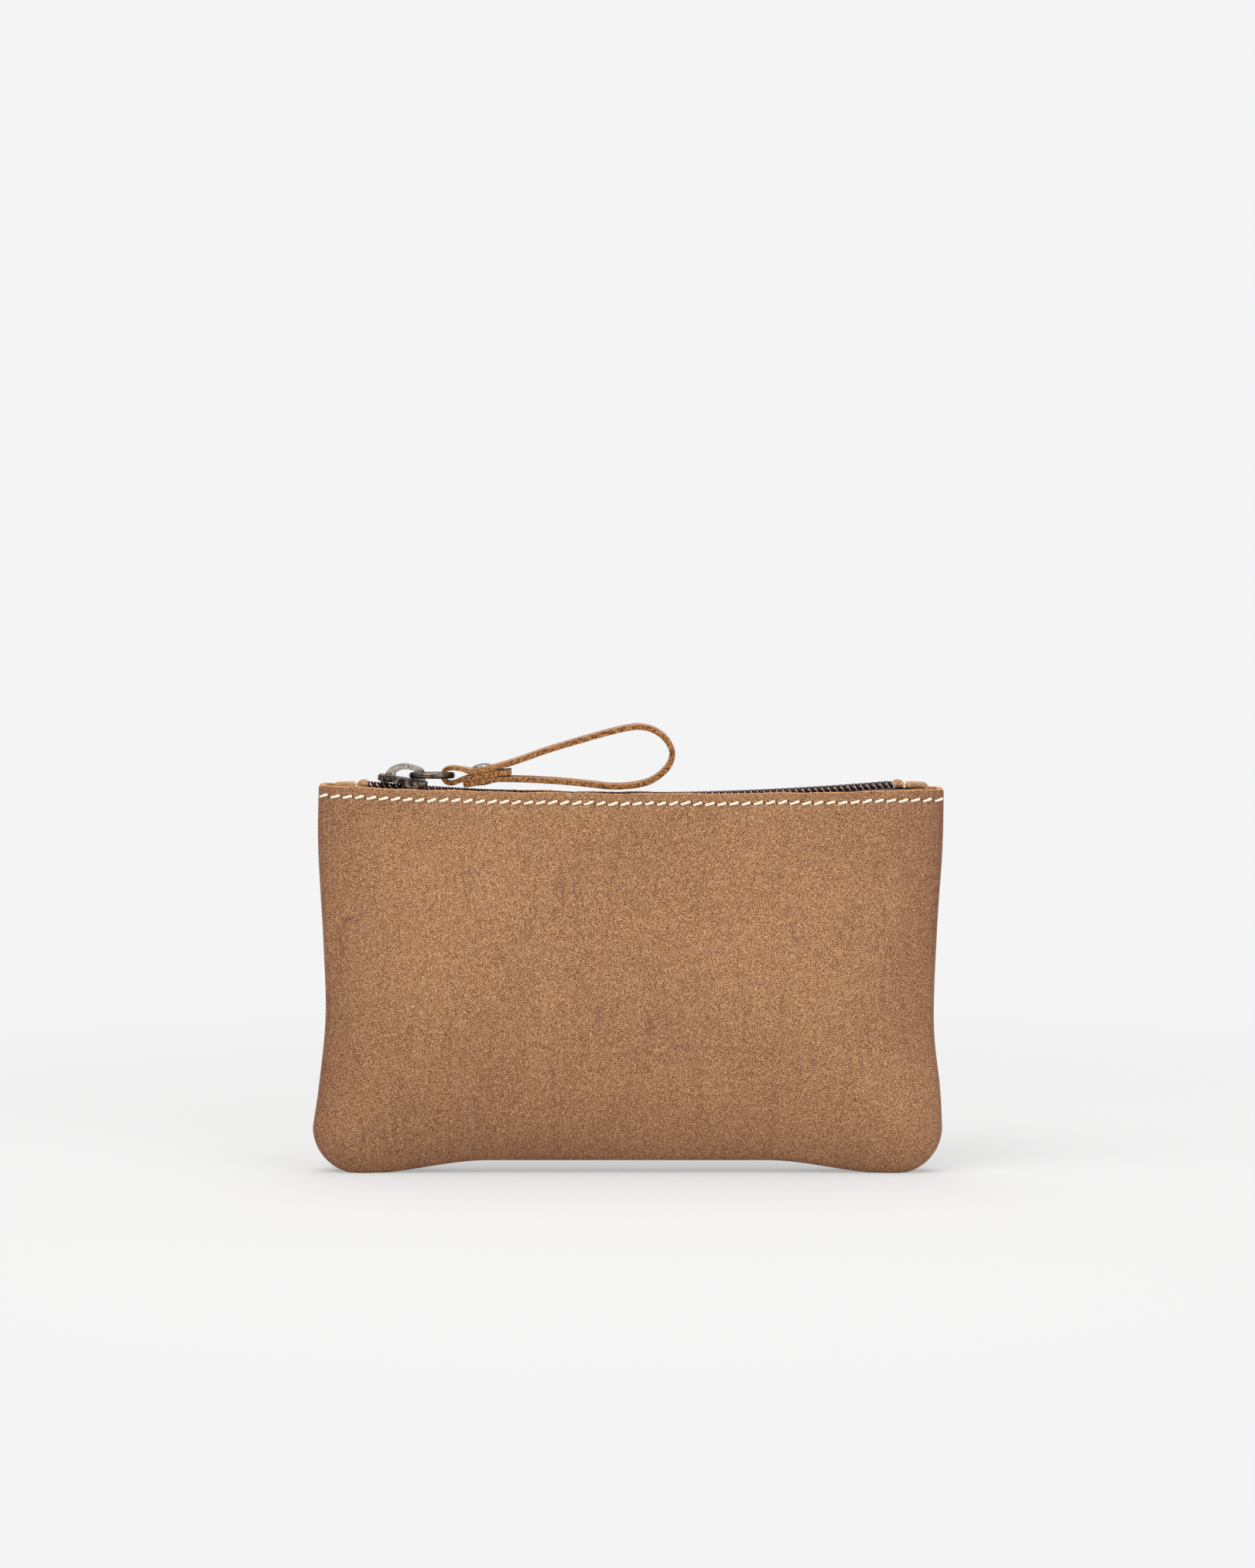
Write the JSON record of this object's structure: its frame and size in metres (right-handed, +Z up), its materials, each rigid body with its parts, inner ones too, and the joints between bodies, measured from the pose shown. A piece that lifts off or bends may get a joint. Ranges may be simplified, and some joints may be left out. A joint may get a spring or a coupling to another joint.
{
  "type": "zippered pouch",
  "caption": "Flat leather pouch with a topstitched coil zip, leather end tabs and a riveted loop pull on a ring.",
  "frame": {"origin": "on the ground, under the middle of the pouch's length and depth", "axes": "+X along the zip, away from the parked slider; +Y from the front to the back; +Z up"},
  "size_m": [0.1996, 0.0278, 0.1427],
  "materials": {
    "panel_leather": "waxed, finely crackled tan leather",
    "strap_leather": "same leather with raw fibrous cut edges",
    "zip_tape": "dark brown woven tape",
    "zip_coil": "dark brown nylon coil",
    "thread": "thick cream twisted thread",
    "slider_metal": "antique silver casting",
    "ring_metal": "dark gunmetal wire",
    "rivet_metal": "gunmetal rivet caps"
  },
  "bodies": {
    "pouch": {"front_panel": "panel_leather", "back_panel": "panel_leather", "left_end_tab": "panel_leather", "right_end_tab": "panel_leather", "front_tape": "zip_tape", "back_tape": "zip_tape", "front_coil": "zip_coil", "back_coil": "zip_coil", "front_topstitch": "thread", "back_topstitch": "thread", "front_seam_thread": "thread", "back_seam_thread": "thread", "left_tab_stitch": "thread", "right_tab_stitch": "thread"},
    "slider": {"slider_body": "slider_metal", "slider_crown": "slider_metal"},
    "ring": {"pull_ring": "ring_metal"},
    "strap": {"pull_strap": "strap_leather", "rivet_cap": "rivet_metal", "rivet_post": "rivet_metal"}
  },
  "joints": [
    {"name": "slider_travel", "type": "hinge", "parent": "pouch", "child": "slider", "pos_m": [0, 0, 1.0709], "axis": [0, -1, 0], "range_deg": [-0.15, 8.85]},
    {"name": "ring_swing", "type": "hinge", "parent": "slider", "child": "ring", "pos_m": [-0.06816, 0, 0.12637], "axis": [0, -1, 0], "range_deg": [0, 125]},
    {"name": "strap_swing", "type": "hinge", "parent": "ring", "child": "strap", "pos_m": [-0.05566, 0, 0.12637], "axis": [0, -1, 0], "range_deg": [0, 32]}
  ]
}
